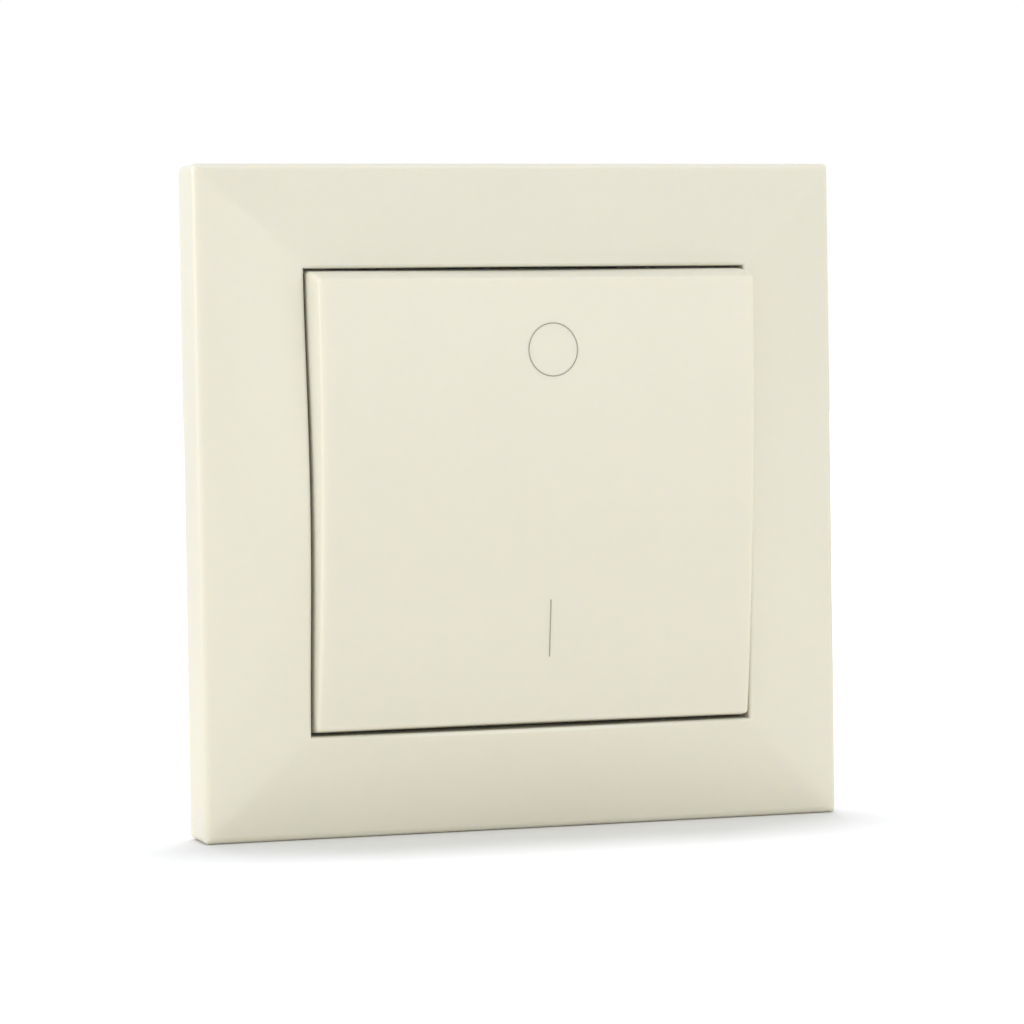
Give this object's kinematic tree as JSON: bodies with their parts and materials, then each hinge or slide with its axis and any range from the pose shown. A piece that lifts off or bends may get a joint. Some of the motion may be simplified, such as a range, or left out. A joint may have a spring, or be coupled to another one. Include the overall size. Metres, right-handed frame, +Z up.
{
  "type": "light switch",
  "caption": "Flush double-pole wall switch: pillowed square cover frame, wide rocker marked 0 and I, steel mounting plate and a push-in terminal insert.",
  "frame": {"origin": "middle of the two box screws, on the wall plane, at the centre of the cover frame's back", "axes": "+Z up the wall, +X to the right seen from the front, +Y into the wall, so the front faces -Y"},
  "size_m": [0.0804, 0.0381, 0.0804],
  "materials": {
    "cover_plastic": "smooth satin-gloss ivory moulding",
    "mechanism_plastic": "plain off-white moulding",
    "base_plastic": "fine-grained grey moulding",
    "lever_plastic": "plain orange moulding",
    "zinc_steel": "zinc plated sheet",
    "spring_steel": "bright spring wire and strip",
    "brass": "stamped brass strip",
    "silver": "silver alloy contact face"
  },
  "bodies": {
    "housing": {"cover_frame": "cover_plastic", "mounting_plate": "zinc_steel", "insert_base": "base_plastic", "switch_cover": "mechanism_plastic", "cover_screws": "zinc_steel", "common_terminal_left": "brass", "fixed_contact_left": "brass", "fixed_contact_tip_left": "silver", "common_terminal_right": "brass", "fixed_contact_right": "brass", "fixed_contact_tip_right": "silver", "terminal_spring_top_left": "spring_steel", "terminal_spring_top_right": "spring_steel", "terminal_spring_bottom_left": "spring_steel", "terminal_spring_bottom_right": "spring_steel"},
    "rocker": {"rocker": "cover_plastic", "rocker_carrier": "mechanism_plastic", "plunger_spring_left": "spring_steel", "plunger_spring_right": "spring_steel"},
    "plunger_left": {"plunger_left": "mechanism_plastic"},
    "bridge_left": {"contact_bridge_left": "brass", "moving_contact_left": "silver"},
    "plunger_right": {"plunger_right": "mechanism_plastic"},
    "bridge_right": {"contact_bridge_right": "brass", "moving_contact_right": "silver"},
    "lever_top": {"release_lever_top": "lever_plastic"},
    "lever_bottom": {"release_lever_bottom": "lever_plastic"}
  },
  "joints": [
    {"name": "rocker_tilt", "type": "hinge", "parent": "housing", "child": "rocker", "pos_m": [0, -0.008, 0], "axis": [1, 0, 0], "range_deg": [-8.6, 0]},
    {"name": "plunger_left_slide", "type": "slide", "parent": "rocker", "child": "plunger_left", "axis": [0, -0.9972, -0.075], "range_m": [0, 0.0008], "stiffness_N_per_m": 800, "springref_m": -0.002, "deforming": ["plunger_spring_left"]},
    {"name": "plunger_right_slide", "type": "slide", "parent": "rocker", "child": "plunger_right", "axis": [0, -0.9972, -0.075], "range_m": [0, 0.0008], "stiffness_N_per_m": 800, "springref_m": -0.002, "deforming": ["plunger_spring_right"]},
    {"name": "bridge_left_tilt", "type": "hinge", "parent": "housing", "child": "bridge_left", "pos_m": [-0.009, 0.0083, 0], "axis": [1, 0, 0], "range_deg": [0, 16]},
    {"name": "bridge_right_tilt", "type": "hinge", "parent": "housing", "child": "bridge_right", "pos_m": [0.009, 0.0083, 0], "axis": [1, 0, 0], "range_deg": [0, 16]},
    {"name": "lever_top_press", "type": "slide", "parent": "housing", "child": "lever_top", "axis": [0, -1, 0], "range_m": [0, 0.0012], "stiffness_N_per_m": 1500, "springref_m": -0.001, "deforming": ["terminal_spring_top_left", "terminal_spring_top_right"]},
    {"name": "lever_bottom_press", "type": "slide", "parent": "housing", "child": "lever_bottom", "axis": [0, -1, 0], "range_m": [0, 0.0012], "stiffness_N_per_m": 1500, "springref_m": -0.001, "deforming": ["terminal_spring_bottom_left", "terminal_spring_bottom_right"]}
  ],
  "couplings": [
    {"joint": "bridge_left_tilt", "follows": "rocker_tilt", "ratio": -1.86},
    {"joint": "bridge_right_tilt", "follows": "rocker_tilt", "ratio": -1.86}
  ]
}
